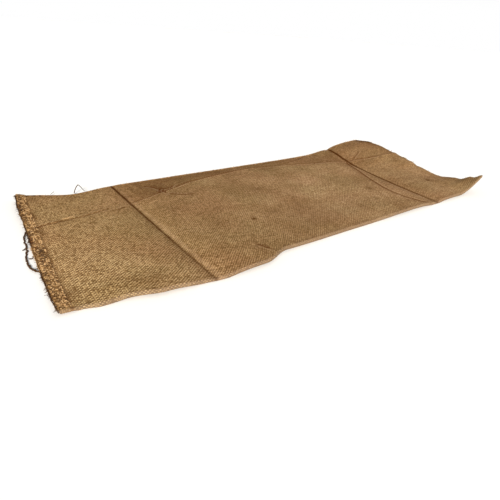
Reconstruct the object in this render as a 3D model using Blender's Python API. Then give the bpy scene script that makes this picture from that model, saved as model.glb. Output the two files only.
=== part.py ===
"""Jute sack lying flat: one piece of hessian folded along its near edge, sewn along the back
edge and across the bottom, open at the mouth. Units are metres, +Z is up.

While it is modelled, x runs from the sewn bottom (0) to the mouth, y from the folded edge (0)
to the side seam, and z up from the surface that the sack lies on.
"""
import math
import random

import bmesh
import bpy
from mathutils import Vector, noise

# ---- Sizes of the sack ----
SACK_WIDTH = 0.356          # folded edge to side seam, laid flat
SACK_LENGTH = 0.838         # sewn bottom to mouth
CLOTH_THICKNESS = 0.0013    # one ply of hessian
PLY_GAP = 0.0007            # air between the plies where they lie closest
SEWN_GAP = 0.0003           # the same where the stitches draw them together
PLY_SPREAD = 0.0028         # how far the top ply rises before the bottom ply follows it

# ---- Edges ----
HEM_WIDTH = 0.013           # turned and sewn band across the bottom
HEM_BULGE = 0.0022          # extra height of the band over the two plies
HEM_LUMP = 0.0009           # unevenness of the band
HEM_LUMP_LENGTH = 0.034
SEAM_LIP = 0.009            # side seam allowance, both plies sewn together
STITCH_PULL = 0.008         # how far inside a seam its stitches draw the plies together
FOLD_BULGE = 0.0008         # the folded edge doesn't lie quite flat
FOLD_BULGE_REACH = 0.007
EDGE_SETTLING = 0.018       # the slack runs out this near to fold, seam and hem
HEM_SETTLING = 0.055        # and the crests beside a furrow this near to the hem
EDGE_ROUNDING = 0.0022      # depth over which an outer edge rounds off
INNER_ROUNDING = 0.0016     # the same inside the sack
MOUTH_RAGGEDNESS = 0.0012   # how far the mouth edge wanders along x
MOUTH_RAGGED_LENGTH = 0.024
MOUTH_RAGGED_FROM = 0.95    # share of the length from which the wandering grows in

# How far the folded edge and the side seam stand off straight lines: the cloth is drawn towards
# the folded edge beside the first furrow, and its folded bottom corner is pulled in.
FOLD_LINE = (
    # x,     off (below 0 is outwards)
    (0.000, 0.0090),
    (0.020, 0.0085),
    (0.042, 0.0030),
    (0.062, 0.0020),
    (0.112, -0.0100),
    (0.150, -0.0135),
    (0.190, -0.0180),
    (0.250, -0.0175),
    (0.300, -0.0010),
    (0.440, 0.0020),
    (0.838, 0.0000),
)
SEAM_LINE = (
    # x,     off (below 0 is inwards)
    (0.030, -0.0020),
    (0.084, -0.0185),
    (0.165, -0.0060),
    (0.320, -0.0030),
    (0.700, 0.0000),
)
DRAWN_IN = 2.0              # power by which that dies out across the sack

# The sewn bottom bows out past a straight line between its corners.
BOTTOM_LINE = (
    # y,     off (below 0 is outwards)
    (0.000, -0.0038),
    (0.030, -0.0052),
    (0.090, -0.0064),
    (0.180, -0.0058),
    (0.240, -0.0050),
    (0.300, -0.0056),
    (0.356, -0.0030),
)
BOTTOM_REACH = 0.110        # the bow dies out over this length, by the same power

# ---- Relief of the cloth above the surface ----
CROWN = 0.0018              # slack between the creases
UNEVENNESS = 0.0012         # broad uneven waves
UNEVEN_LENGTH = 0.075
FURROW_SOFTNESS = 0.0035    # rounds the bottom of a furrow
FURROW_PRESSING = 0.022     # the slack is pressed out this near to a furrow
RIDGE_FALL = 0.6            # how fast the crests sink from the near to the back value

# Furrows pressed across the sack. near_x and back_x are where each line meets the folded edge
# and the side seam, bow bends its middle along x. The cloth stands up beside the line: near_ridge
# and back_ridge are the heights there, near_reach and back_reach the distances to the crests.
FURROWS = (
    # near_x, back_x, bow,    near_ridge, back_ridge, near_reach, back_reach
    (0.173,   0.153, -0.001,  0.0060,     0.0006,     0.074,      0.026),
    (0.683,   0.727, -0.010,  0.0058,     0.0034,     0.060,      0.026),
)

# A pleat on the bottom side of the second furrow, lens-shaped between the two lines.
PLEAT_FURROW = 1
PLEAT_WIDTH = 0.050
PLEAT_HEIGHT = 0.0018
PLEAT_END = 0.86            # share of the width at which it runs out
PLEAT_ROOT = 0.08           # share of the lens that is cut off at the folded edge
PLEAT_LEAN = 0.55           # below 1 its widest place comes nearer to the folded edge
PLEAT_POINT = 1.5           # how drawn out its far end is

# Lengthwise crease: where it runs, and how far the cloth steps down behind it.
CREASE = (
    # x,     y
    (0.000, 0.222),
    (0.064, 0.238),
    (0.155, 0.257),
    (0.219, 0.274),
    (0.293, 0.303),
    (0.373, 0.319),
    (0.461, 0.325),
    (0.526, 0.314),
    (0.595, 0.298),
    (0.665, 0.275),
    (0.724, 0.258),
    (0.838, 0.223),
)
CREASE_STEP = 0.0014
CREASE_WIDTH = 0.007

# Bottom corners: the seam corner curls up a little, the folded corner hardly.
SEAM_CORNER_LIFT = 0.0076
FOLD_CORNER_LIFT = 0.0020
CORNER_REACH = 0.050        # along x
SEAM_CORNER_FROM = 0.45     # share of the width from which the seam corner begins to rise
FOLD_CORNER_WIDTH = 0.050
CURL = 1.5                  # power by which corners and mouth curl up

# Height of the mouth edge over the surface, from the folded edge to the side seam.
MOUTH_EDGE = (
    # y,     lift,   reach: how far back from the mouth the lift begins
    (0.000, 0.0310, 0.066),
    (0.020, 0.0200, 0.068),
    (0.045, 0.0075, 0.076),
    (0.094, 0.0008, 0.090),
    (0.150, 0.0065, 0.100),
    (0.172, 0.0120, 0.112),
    (0.198, 0.0155, 0.125),
    (0.228, 0.0220, 0.140),
    (0.277, 0.0280, 0.160),
    (0.310, 0.0290, 0.172),
    (0.356, 0.0240, 0.182),
)
MOUTH_CURL_WIDTH = 0.200    # from a curl at the fold to an even rise this far behind it

# ---- Mesh stations ----
LONG_STEP = 0.0270          # spacing along x away from hem, furrows and mouth
HEM_STATIONS = (0.0, 0.0006, EDGE_ROUNDING, 0.0060, 0.0105, HEM_WIDTH, 0.0190)
FURROW_OFFSETS = (-0.054, -0.038, -0.025, -0.014, -0.006, 0.0, 0.006, 0.014, 0.026)
MOUTH_OFFSETS = (0.056, 0.038, 0.024, 0.012, 0.004, 0.0)
FOLD_STATIONS = (0.0, 0.0006, EDGE_ROUNDING, 0.009, 0.022, 0.045)
CREASE_OFFSETS = (-0.018, -0.007, 0.0, 0.007)
SEAM_STATIONS = (SEAM_LIP, EDGE_ROUNDING, 0.0006, 0.0)
FRONT_CELLS = 7             # cells between the folded edge's stations and the crease
BACK_CELLS = 2              # cells between the crease and the seam's stations

# ---- Frayed yarn ends past the sewn bottom ----
FRAY_GAP = 0.0003           # clear of the hem
FRAY_BACKING = 0.0016       # depth of the strip that holds the ends
FRAY_HEIGHT = 0.0019
FRAY_MARGIN = 0.0030        # the strip stops short of both corners
FRAY_LOCKS = 84
FRAY_SHORTEST = 0.0022
FRAY_LONGEST = 0.0078
FRAY_TAPER = 0.45           # size of a tip against its root
FRAY_SWAY = 0.42            # sideways lean of the ends, as a slope
FRAY_SWAY_LENGTH = 0.034
FRAY_SEED = 11

MERGE_DISTANCE = 0.00002

JUTE = (0.350, 0.216, 0.094)
JUTE_FRAY = (0.462, 0.262, 0.098)


def mix(start, end, share):
    return start + (end - start) * share


def smooth(share):
    """Even start and end between 0 and 1."""
    share = min(1.0, max(0.0, share))
    return share * share * (3.0 - 2.0 * share)


def blend_table(rows, at, column):
    """Smooth value of a table's column where its first column equals `at`."""
    if at <= rows[0][0]:
        return rows[0][column]
    for low, high in zip(rows, rows[1:]):
        if at <= high[0]:
            share = smooth((at - low[0]) / (high[0] - low[0]))
            return mix(low[column], high[column], share)
    return rows[-1][column]


def away(distance, reach):
    """0 at a line and 1 well away from it."""
    return 1.0 - math.exp(-(distance / reach) ** 2)


def furrow_x(furrow, y):
    """Where a furrow's line stands at a distance y from the folded edge."""
    near_x, back_x, bow = furrow[:3]
    share = y / SACK_WIDTH
    return mix(near_x, back_x, share) + bow * math.sin(math.pi * share)


def furrow_relief(furrow, x, y):
    """Cloth beside a pressed line: zero on the line, a crest on each side, then level again."""
    near_ridge, back_ridge, near_reach, back_reach = furrow[3:]
    share = y / SACK_WIDTH
    ridge = mix(near_ridge, back_ridge, share ** RIDGE_FALL)
    reach = mix(near_reach, back_reach, share ** RIDGE_FALL)
    off = abs(x - furrow_x(furrow, y))
    off = math.hypot(off, FURROW_SOFTNESS) - FURROW_SOFTNESS
    spread = off / reach
    return ridge * spread * math.exp(1.0 - spread) * away(x, HEM_SETTLING)


def slack_share(x, y):
    """Share of the slack that is left: none on a furrow, at the fold and where the sack is sewn."""
    share = away(y, EDGE_SETTLING)
    share *= away(max(0.0, SACK_WIDTH - SEAM_LIP - y), EDGE_SETTLING)
    share *= away(max(0.0, x - HEM_WIDTH), EDGE_SETTLING)
    for furrow in FURROWS:
        share *= away(x - furrow_x(furrow, y), FURROW_PRESSING)
    return share


def pleat_relief(x, y):
    furrow = FURROWS[PLEAT_FURROW]
    along = y / (SACK_WIDTH * PLEAT_END)
    if along >= 1.0:
        return 0.0
    lens = math.sin(math.pi * mix(PLEAT_ROOT, 1.0, along) ** PLEAT_LEAN)
    width = PLEAT_WIDTH * lens ** PLEAT_POINT
    off = (furrow_x(furrow, y) - x) / max(width, 0.001)
    if not 0.0 < off < 1.0:
        return 0.0
    return PLEAT_HEIGHT * math.sin(math.pi * off) ** 2 * math.sin(math.pi * along) ** 0.5


def crease_relief(x, y):
    """The cloth behind the lengthwise crease lies lower than the cloth in front of it."""
    off = (y - blend_table(CREASE, x, 1)) / CREASE_WIDTH
    return -CREASE_STEP * (0.5 + 0.5 * math.tanh(off))


def corner_relief(x, y):
    share = max(0.0, 1.0 - x / CORNER_REACH)
    seam = max(0.0, (y / SACK_WIDTH - SEAM_CORNER_FROM) / (1.0 - SEAM_CORNER_FROM))
    fold = max(0.0, 1.0 - y / FOLD_CORNER_WIDTH)
    return share ** CURL * (SEAM_CORNER_LIFT * seam ** CURL + FOLD_CORNER_LIFT * fold)


def mouth_relief(x, y):
    lift = blend_table(MOUTH_EDGE, y, 1)
    reach = blend_table(MOUTH_EDGE, y, 2)
    share = min(1.0, max(0.0, 1.0 - (SACK_LENGTH - x) / reach))
    return lift * mix(share ** CURL, smooth(share), min(1.0, y / MOUTH_CURL_WIDTH))


def relief(x, y):
    """How far the cloth stands up over its flattest lie at one place."""
    waves = UNEVENNESS * noise.noise(Vector((x, y, 0.0)) / UNEVEN_LENGTH)
    height = (CROWN + waves + crease_relief(x, y)) * slack_share(x, y)
    height += sum(furrow_relief(furrow, x, y) for furrow in FURROWS)
    height += pleat_relief(x, y) + corner_relief(x, y) + mouth_relief(x, y)
    return max(0.0, height)


def hem_height(x, y):
    """Extra height of the turned band, which ends softly at the line of its stitches."""
    if x >= HEM_WIDTH:
        return 0.0
    lumps = HEM_LUMP * noise.noise(Vector((x * 0.5, y, 3.0)) / HEM_LUMP_LENGTH)
    share = math.cos(0.5 * math.pi * x / HEM_WIDTH) ** 0.5
    return (HEM_BULGE + lumps) * share


def rounding(distance, radius):
    """0 at an edge, 1 from `radius` inward, round between."""
    share = min(1.0, max(0.0, distance / radius))
    return math.sqrt(1.0 - (1.0 - share) ** 2)


def sewn_share(x, y):
    """1 where the plies are sewn together at the side or the bottom, 0 where they lie loose."""
    inside = min(SACK_WIDTH - SEAM_LIP - y, x - HEM_WIDTH)
    return smooth(1.0 - inside / STITCH_PULL)


def lift_off(x, y):
    """Height of the bottom ply's underside over the surface: it stays down while it can."""
    return max(0.0, relief(x, y) - PLY_SPREAD * (1.0 - sewn_share(x, y)))


def cloth_height(x, y, ply, face):
    """Height of the outer or inner face of the lower or upper ply."""
    lift = lift_off(x, y)
    spread = relief(x, y) - lift + FOLD_BULGE * math.exp(-(y / FOLD_BULGE_REACH) ** 2)
    gap = mix(PLY_GAP, SEWN_GAP, sewn_share(x, y))
    lower = {"outer": lift, "inner": lift + CLOTH_THICKNESS}[face]
    upper = lift + CLOTH_THICKNESS + gap + spread
    if face == "outer":
        upper += CLOTH_THICKNESS + hem_height(x, y)
        closing = min(rounding(x, EDGE_ROUNDING), rounding(y, EDGE_ROUNDING),
                      rounding(SACK_WIDTH - y, EDGE_ROUNDING))
    else:
        closing = min(rounding(x - HEM_WIDTH, INNER_ROUNDING),
                      rounding(y - CLOTH_THICKNESS, INNER_ROUNDING),
                      rounding(SACK_WIDTH - SEAM_LIP - y, INNER_ROUNDING))
    middle = 0.5 * (lower + upper)
    half = 0.5 * (upper - lower) * closing
    return middle + half if ply == "upper" else middle - half


def long_stations():
    """Positions along the folded edge where the mesh has a row, closer at hem, furrows, mouth."""
    fixed = list(HEM_STATIONS)
    for furrow in FURROWS:
        fixed += [furrow[0] + offset for offset in FURROW_OFFSETS]
    fixed += [SACK_LENGTH - offset for offset in MOUTH_OFFSETS]
    stations = [fixed[0]]
    for position in fixed[1:]:
        cells = max(1, round((position - stations[-1]) / LONG_STEP))
        start = stations[-1]
        stations += [mix(start, position, (cell + 1) / cells) for cell in range(cells)]
    return stations


def cross_stations(x):
    """Positions across the sack at one row, following the lengthwise crease."""
    crease = [blend_table(CREASE, x, 1) + offset for offset in CREASE_OFFSETS]
    seam = [SACK_WIDTH - offset for offset in SEAM_STATIONS]
    front = [mix(FOLD_STATIONS[-1], crease[0], (cell + 1) / FRONT_CELLS)
             for cell in range(FRONT_CELLS - 1)]
    back = [mix(crease[-1], seam[0], (cell + 1) / BACK_CELLS) for cell in range(BACK_CELLS - 1)]
    return list(FOLD_STATIONS) + front + crease + back + seam


def skewed_x(near_x, y):
    """A row of the mesh leans with the furrows, so that each furrow has a row of its own."""
    rows = [(0.0, 0.0)]
    rows += [(furrow[0], furrow_x(furrow, y) - furrow[0]) for furrow in FURROWS]
    rows += [(SACK_LENGTH, 0.0)]
    for low, high in zip(rows, rows[1:]):
        if near_x <= high[0]:
            share = (near_x - low[0]) / (high[0] - low[0])
            return near_x + mix(low[1], high[1], share)
    return near_x


def drawn_y(x, y):
    """Where a place on straight cloth comes to lie across the sack."""
    share = y / SACK_WIDTH
    fold = blend_table(FOLD_LINE, x, 1) * (1.0 - share) ** DRAWN_IN
    return y + fold + blend_table(SEAM_LINE, x, 1) * share ** DRAWN_IN


def drawn_x(x, y):
    """The same along the sack, for the bow of the sewn bottom."""
    share = max(0.0, 1.0 - max(0.0, x) / BOTTOM_REACH)
    return x + blend_table(BOTTOM_LINE, y, 1) * share ** DRAWN_IN


def cloth_point(near_x, y, ply, face):
    """A place on the cloth, given the mesh row's position on the folded edge and y."""
    x = skewed_x(near_x, y)
    if face == "inner":
        x = mix(HEM_WIDTH, SACK_LENGTH, x / SACK_LENGTH)
        y = mix(CLOTH_THICKNESS, SACK_WIDTH - SEAM_LIP, y / SACK_WIDTH)
    z = cloth_height(x, y, ply, face)
    ragged = MOUTH_RAGGEDNESS * noise.noise(Vector((y, 0.0, 7.0)) / MOUTH_RAGGED_LENGTH)
    wander = ragged * max(0.0, (x / SACK_LENGTH - MOUTH_RAGGED_FROM) / (1.0 - MOUTH_RAGGED_FROM))
    return Vector((drawn_x(x, y) + wander, drawn_y(x, y), z))


def add_ply(mesh, ply, face):
    """One face of one ply: a grid laid over the sack, from hem to mouth and from fold to seam."""
    rows = long_stations()
    columns = len(cross_stations(0.0))
    grid = bmesh.ops.create_grid(mesh, x_segments=len(rows) - 1, y_segments=columns - 1, size=1.0)
    for vertex in grid["verts"]:
        row = round((vertex.co.x + 1.0) / 2.0 * (len(rows) - 1))
        column = round((vertex.co.y + 1.0) / 2.0 * (columns - 1))
        y = cross_stations(rows[row])[column]
        vertex.co = cloth_point(rows[row], y, ply, face)


def mesh_object(name, mesh, colour, roughness, collection):
    data = bpy.data.meshes.new(name)
    mesh.to_mesh(data)
    mesh.free()
    material = bpy.data.materials.new(name)
    material.use_nodes = True
    shader = material.node_tree.nodes["Principled BSDF"]
    shader.inputs["Base Color"].default_value = (*colour, 1.0)
    shader.inputs["Roughness"].default_value = roughness
    shader.inputs["Metallic"].default_value = 0.0
    material.diffuse_color = (*colour, 1.0)
    data.materials.append(material)
    made = bpy.data.objects.new(name, data)
    collection.objects.link(made)
    return made


def make_sack(collection):
    """The sack itself: the faces of both plies meet at fold, seam and hem, and a rim at the mouth."""
    mesh = bmesh.new()
    for face in ("outer", "inner"):
        for ply in ("lower", "upper"):
            add_ply(mesh, ply, face)
    bmesh.ops.remove_doubles(mesh, verts=mesh.verts, dist=MERGE_DISTANCE)
    mouth = [edge for edge in mesh.edges if edge.is_boundary]
    bmesh.ops.bridge_loops(mesh, edges=mouth)
    bmesh.ops.recalc_face_normals(mesh, faces=mesh.faces)
    return mesh_object("sack_body", mesh, JUTE, 0.92, collection)


def make_fray(collection):
    """Frayed ends past the bottom: a narrow strip with every second face of its front drawn out."""
    rng = random.Random(FRAY_SEED)
    cells = 2 * FRAY_LOCKS + 1
    mesh = bmesh.new()
    bmesh.ops.create_grid(mesh, x_segments=1, y_segments=cells, size=1.0)
    drawn = bmesh.ops.extrude_face_region(mesh, geom=list(mesh.faces))
    raised = [item for item in drawn["geom"] if isinstance(item, bmesh.types.BMVert)]
    for vertex in mesh.verts:
        vertex.co.z = 0.0
    for vertex in raised:
        vertex.co.z = FRAY_HEIGHT
    for vertex in mesh.verts:
        share = (vertex.co.y + 1.0) / 2.0
        vertex.co.y = mix(FRAY_MARGIN, SACK_WIDTH - FRAY_MARGIN, share)
        depth = 0.5 - 0.5 * vertex.co.x
        vertex.co.x = -FRAY_GAP - FRAY_BACKING * depth
    bmesh.ops.recalc_face_normals(mesh, faces=mesh.faces)
    front = [face for face in mesh.faces if face.normal.x < -0.9]
    front.sort(key=lambda face: face.calc_center_median().y)
    for root in front[1::2]:
        y = root.calc_center_median().y
        length = mix(FRAY_SHORTEST, FRAY_LONGEST, rng.random() ** 1.5)
        sway = FRAY_SWAY * math.sin(2.0 * math.pi * y / FRAY_SWAY_LENGTH + 2.0 * math.sin(9.0 * y))
        tip = bmesh.ops.extrude_discrete_faces(mesh, faces=[root])["faces"][0]
        centre = tip.calc_center_median()
        for vertex in tip.verts:
            vertex.co.y = centre.y + (vertex.co.y - centre.y) * FRAY_TAPER + length * sway
            vertex.co.x -= length
            vertex.co.z *= FRAY_TAPER
    for vertex in mesh.verts:
        x, y = vertex.co.x, vertex.co.y
        vertex.co.z += lift_off(0.0, y)
        vertex.co.x, vertex.co.y = drawn_x(x, y), drawn_y(0.0, y)
    bmesh.ops.recalc_face_normals(mesh, faces=mesh.faces)
    return mesh_object("bottom_fray", mesh, JUTE_FRAY, 0.95, collection)


def centre_on_origin(objects):
    """Stand the whole on the origin: its box is centred in x and y, and its lowest point is z = 0."""
    points = [vertex.co for made in objects for vertex in made.data.vertices]
    low = [min(point[axis] for point in points) for axis in range(3)]
    high = [max(point[axis] for point in points) for axis in range(3)]
    shift = Vector((-0.5 * (low[0] + high[0]), -0.5 * (low[1] + high[1]), -low[2]))
    for made in objects:
        for vertex in made.data.vertices:
            vertex.co += shift


def main():
    for old in list(bpy.data.objects):
        bpy.data.objects.remove(old, do_unlink=True)
    collection = bpy.data.collections.new("jute_sack")
    bpy.context.scene.collection.children.link(collection)
    objects = [make_sack(collection), make_fray(collection)]
    centre_on_origin(objects)
    for made in objects:
        made.data.shade_smooth()


main()
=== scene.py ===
import math
import random
from functools import partial

import bmesh
import bpy
from mathutils import Matrix, Vector, noise


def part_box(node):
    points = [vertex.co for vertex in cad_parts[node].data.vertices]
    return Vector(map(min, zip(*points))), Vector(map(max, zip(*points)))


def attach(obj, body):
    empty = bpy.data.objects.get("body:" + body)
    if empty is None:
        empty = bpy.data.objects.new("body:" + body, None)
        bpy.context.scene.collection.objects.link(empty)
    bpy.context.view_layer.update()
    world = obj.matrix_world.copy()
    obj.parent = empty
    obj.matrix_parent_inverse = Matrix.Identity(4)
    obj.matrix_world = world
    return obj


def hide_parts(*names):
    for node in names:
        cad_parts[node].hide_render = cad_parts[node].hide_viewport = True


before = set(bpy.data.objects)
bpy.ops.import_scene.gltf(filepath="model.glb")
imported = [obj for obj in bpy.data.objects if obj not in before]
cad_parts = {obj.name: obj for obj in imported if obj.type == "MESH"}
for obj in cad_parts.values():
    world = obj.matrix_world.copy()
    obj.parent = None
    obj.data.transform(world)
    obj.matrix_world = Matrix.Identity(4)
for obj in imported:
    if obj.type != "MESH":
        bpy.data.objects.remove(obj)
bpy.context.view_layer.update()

sackLow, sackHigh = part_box("sack_body")

# The sack lies flat: x runs from its sewn bottom to the mouth, y from the folded edge to the side
# seam, z up. Lengths are metres, but the tables of creases and stains are in millimetres.
mm = 0.001
sack = {
    "width": 356 * mm, "length": 838 * mm,
    "cloth": 1.3 * mm,  # one ply of hessian
    "plyGap": 0.7 * mm, "sewnGap": 0.3 * mm,
    "leastGap": 0.15 * mm,  # between the plies in the deepest crease
    "plySpread": 2.8 * mm,  # the upper ply rises this far before the lower one follows
    "hemWidth": 13 * mm, "hemBulge": 2.2 * mm, "hemLump": 0.9 * mm, "hemLumpLength": 34 * mm,
    "seamLip": 9 * mm, "stitchPull": 8 * mm, "foldBulge": 0.8 * mm, "foldBulgeReach": 7 * mm,
    # the slack runs out this near to the edges and to the hem, and the puckers near the seam
    "edgeSettling": 18 * mm, "hemSettling": 55 * mm, "puckerSettling": 12 * mm,
    "edgeRounding": 2.2 * mm, "innerRounding": 1.6 * mm,
    "crown": 1.8 * mm, "unevenness": 1.2 * mm, "unevenLength": 75 * mm,
    "cockle": 0.28 * mm, "cockleLength": 15 * mm,  # small puckers, which only the looks have
}

# The cut ends wander in waves, coarse and fine: from this share of the length on at the mouth, and
# this near to the bottom at the hem
ragged = {"mouth": 1.2 * mm, "mouthLength": 24 * mm, "mouthFine": 1.9 * mm, "fineLength": 6 * mm,
          "mouthFrom": 0.95, "hem": 0.9 * mm, "hemLength": 9 * mm, "hemReach": 8 * mm}

# How far the folded edge, the side seam and the sewn bottom stand off straight lines: mm along
# the edge, mm off it (below 0 is outwards, but inwards at the seam)
foldLine = [(0, 9.0), (20, 8.5), (42, 3.0), (62, 2.0), (112, -10.0), (150, -13.5), (190, -18.0),
            (250, -17.5), (300, -1.0), (440, 2.0), (838, 0.0)]
seamLine = [(30, -2.0), (84, -18.5), (165, -6.0), (320, -3.0), (700, 0.0)]
bottomLine = [(0, -3.8), (30, -5.2), (90, -6.4), (180, -5.8), (240, -5.0), (300, -5.6), (356, -3.0)]
drawnIn = 2.0  # power by which that dies out across the sack
bottomReach = 110 * mm  # and along it

# the point where the straight lines of folded edge and sewn bottom would meet
mostOut = min(off for at, off in bottomLine) * mm
corner = Vector((sackLow.x - mostOut, sackHigh.y - sack["width"], 0.0))

# Pressed lines across the sack, with the cloth standing up beside them
# Each furrow is also painted: a dark line of pressed dirt and painted shade, painted shade beside the
# first, and a painted highlight on the ridge beside each; their strengths go by mm from the fold
furrows = [
    {"nearX": 0.173, "backX": 0.153, "bow": -0.001,
     "nearRidge": 0.0060, "backRidge": 0.0006, "nearReach": 0.074, "backReach": 0.026,
     "dirtAndShadeOff": -0.5 * mm, "dirtAndShade": [(0, 0.55), (70, 0.70), (110, 0.90), (200, 1.0), (356, 1.2)],
     "paleOff": 6.0 * mm, "pale": [(0, 0.5), (120, 0.6), (250, 0.4), (356, 0.1)],
     "shade": [(0, 0.5), (60, 0.6), (150, 0.8), (250, 0.4), (356, 0.0)]},
    {"nearX": 0.683, "backX": 0.727, "bow": -0.010,
     "nearRidge": 0.0058, "backRidge": 0.0034, "nearReach": 0.060, "backReach": 0.026,
     "dirtAndShadeOff": 3.4 * mm, "dirtAndShade": [(0, 0.7), (60, 0.85), (180, 1.1), (250, 1.4), (356, 1.9)],
     "paleOff": -6.5 * mm, "pale": [(0, 0.3), (60, 1.0), (180, 0.9), (250, 0.3), (356, 0.0)],
     "shade": [(0, 0.0)]},
]
furrowShape = {"softness": 3.5 * mm, "pressing": 22 * mm, "ridgeFall": 0.6,
               "biteDepth": 0.75 * mm, "biteWidth": 1.7 * mm}
pleat = {"width": 50 * mm, "height": 1.8 * mm, "end": 0.86, "root": 0.08, "lean": 0.55,
         "point": 1.5}

# Long crease: millimetres from the bottom, millimetres from the folded edge
longCrease = [(0, 222), (64, 238), (155, 257), (219, 274), (293, 303), (373, 319), (461, 325),
              (526, 314), (595, 298), (665, 275), (724, 258), (838, 223)]
creaseStep = {"height": 1.4 * mm, "width": 7 * mm}

cornerLift = {"seam": 7.6 * mm, "fold": 2.0 * mm, "reach": 50 * mm, "seamFrom": 0.45,
              "foldWidth": 50 * mm, "curl": 1.5}

# Mouth edge: mm from the folded edge, lift in mm, how far back the lift begins in mm
mouthEdge = [(0, 31.0, 66), (20, 20.0, 68), (45, 7.5, 76), (94, 0.8, 90), (150, 6.5, 100),
             (172, 12.0, 112), (198, 15.5, 125), (228, 22.0, 140), (277, 28.0, 160),
             (310, 29.0, 172), (356, 24.0, 182)]
mouthCurlWidth = 200 * mm  # from a curl at the fold to an even rise this far behind it

# Fine creases, drawn in mm. Seen along its points a crease has its valley on the left, or
# on the right where side is -1. It fades out at its start and at its end where fades says 1.
# The fifth column gives the strength of the painted shade along a crease's valley and of the painted
# highlight on its ridge.
creaseColumns = ("side", "ridge", "valley", "width", "shadeAndHighlight", "fades", "points")
creaseTable = [
    (-1, 0.90, 0.70, 1.9, 0.66, (0, 1), [(2, 220), (11, 226), (22, 231), (31, 233), (42, 233), (64, 238),
      (86, 246), (104, 252), (121, 254)]),
    (-1, 0.50, 0.50, 2.2, 0.55, (1, 1), [(112, 239), (130, 241), (150, 248)]),
    (1, 0.60, 0.70, 2.4, 0.80, (1, 0), [(155, 257), (175, 260), (195, 264), (219, 275), (231, 280)]),
    (1, 0.90, 1.10, 2.3, 1.50, (0, 0), [(231, 280), (255, 288), (293, 303), (334, 313), (373, 318),
      (414, 323), (455, 324), (488, 322)]),
    (1, 0.70, 0.90, 2.3, 1.70, (0, 1), [(488, 322), (520, 315), (560, 307), (585, 300), (625, 288),
      (665, 274), (697, 269), (712, 263)]),
    (1, 0.50, 0.70, 2.4, 0.60, (1, 1), [(520, 316), (566, 323), (605, 330), (632, 342), (658, 354)]),
    (1, 0.10, 0.80, 2.4, 1.10, (1, 1), [(200, 322), (213, 315), (220, 305), (222, 291), (227, 284),
      (228, 268), (233, 256)]),
    (1, 0.25, 0.80, 2.2, 0.90, (1, 1), [(221, 298), (236, 290), (251, 294), (262, 306)]),
    (-1, 0.25, 0.60, 2.2, 0.80, (1, 1), [(229, 270), (242, 258), (257, 249), (275, 246)]),
    (1, 0.50, 0.60, 4.0, 0.90, (1, 1), [(664, 2), (648, 14), (638, 36), (635, 66), (639, 95), (648, 124),
      (661, 158), (676, 190), (690, 222), (700, 246), (710, 270)]),
    (1, 0.70, 0.90, 2.6, 0.90, (1, 0), [(712, 262), (724, 257), (736, 248), (752, 240), (770, 236),
      (790, 231), (813, 226), (837, 223)]),
    (1, 0.35, 0.50, 2.6, 0.55, (1, 1), [(724, 256), (731, 261), (748, 269), (768, 278)]),
    (1, 0.50, 0.70, 2.4, 0.80, (1, 1), [(664, 352), (668, 338), (672, 322)]),
    (1, 0.80, 0.80, 2.4, 0.90, (1, 1), [(260, 40), (266, 26), (274, 10)]),
    (-1, 0.60, 1.40, 1.7, 1.50, (1, 1), [(1, 204), (2, 190), (4, 165), (5, 140), (5, 118), (4, 102)]),
]
fineCreases = [dict(zip(creaseColumns, row)) for row in creaseTable]
creaseReach = 9.0  # a fine crease changes nothing further than this, in mm
fadeLength = 14.0  # and fades out over this at its ends,
fadeLeast = 0.25  # where it starts from this share
for crease in fineCreases:
    xs, ys = zip(*crease["points"])
    crease["box"] = (min(xs) - creaseReach, max(xs) + creaseReach,
                     min(ys) - creaseReach, max(ys) + creaseReach)
    crease["length"] = sum(math.dist(a, b) for a, b in zip(crease["points"], crease["points"][1:]))

# How light the cloth is: its level, painted light that makes it lighter towards the bottom (mm from the
# bottom, share; less towards the seam), painted shade behind the crease (from and until where, and
# what is left of that), and patches: x, y, half length and half width in mm, share
paintedLightAndPatches = {"level": 0.985, "lightAtSeam": 0.35, "shadeBehindCrease": 0.19, "creaseSoft": 6 * mm,
          "behindFrom": (120, 180), "behindUntil": (380, 640), "behindLeft": 0.35,
          "along": [(0, 0.33), (60, 0.31), (150, 0.10), (260, 0.03), (400, 0.06), (520, 0.15),
                    (838, 0.10)],
          "patches": [(300, 110, 90, 70, 0.06), (520, 150, 120, 90, 0.15), (310, 25, 80, 28, -0.04),
                      (75, 15, 40, 20, -0.14), (140, 30, 30, 25, 0.10), (560, 250, 80, 40, 0.08),
                      (780, 310, 60, 45, -0.18)]}

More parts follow.
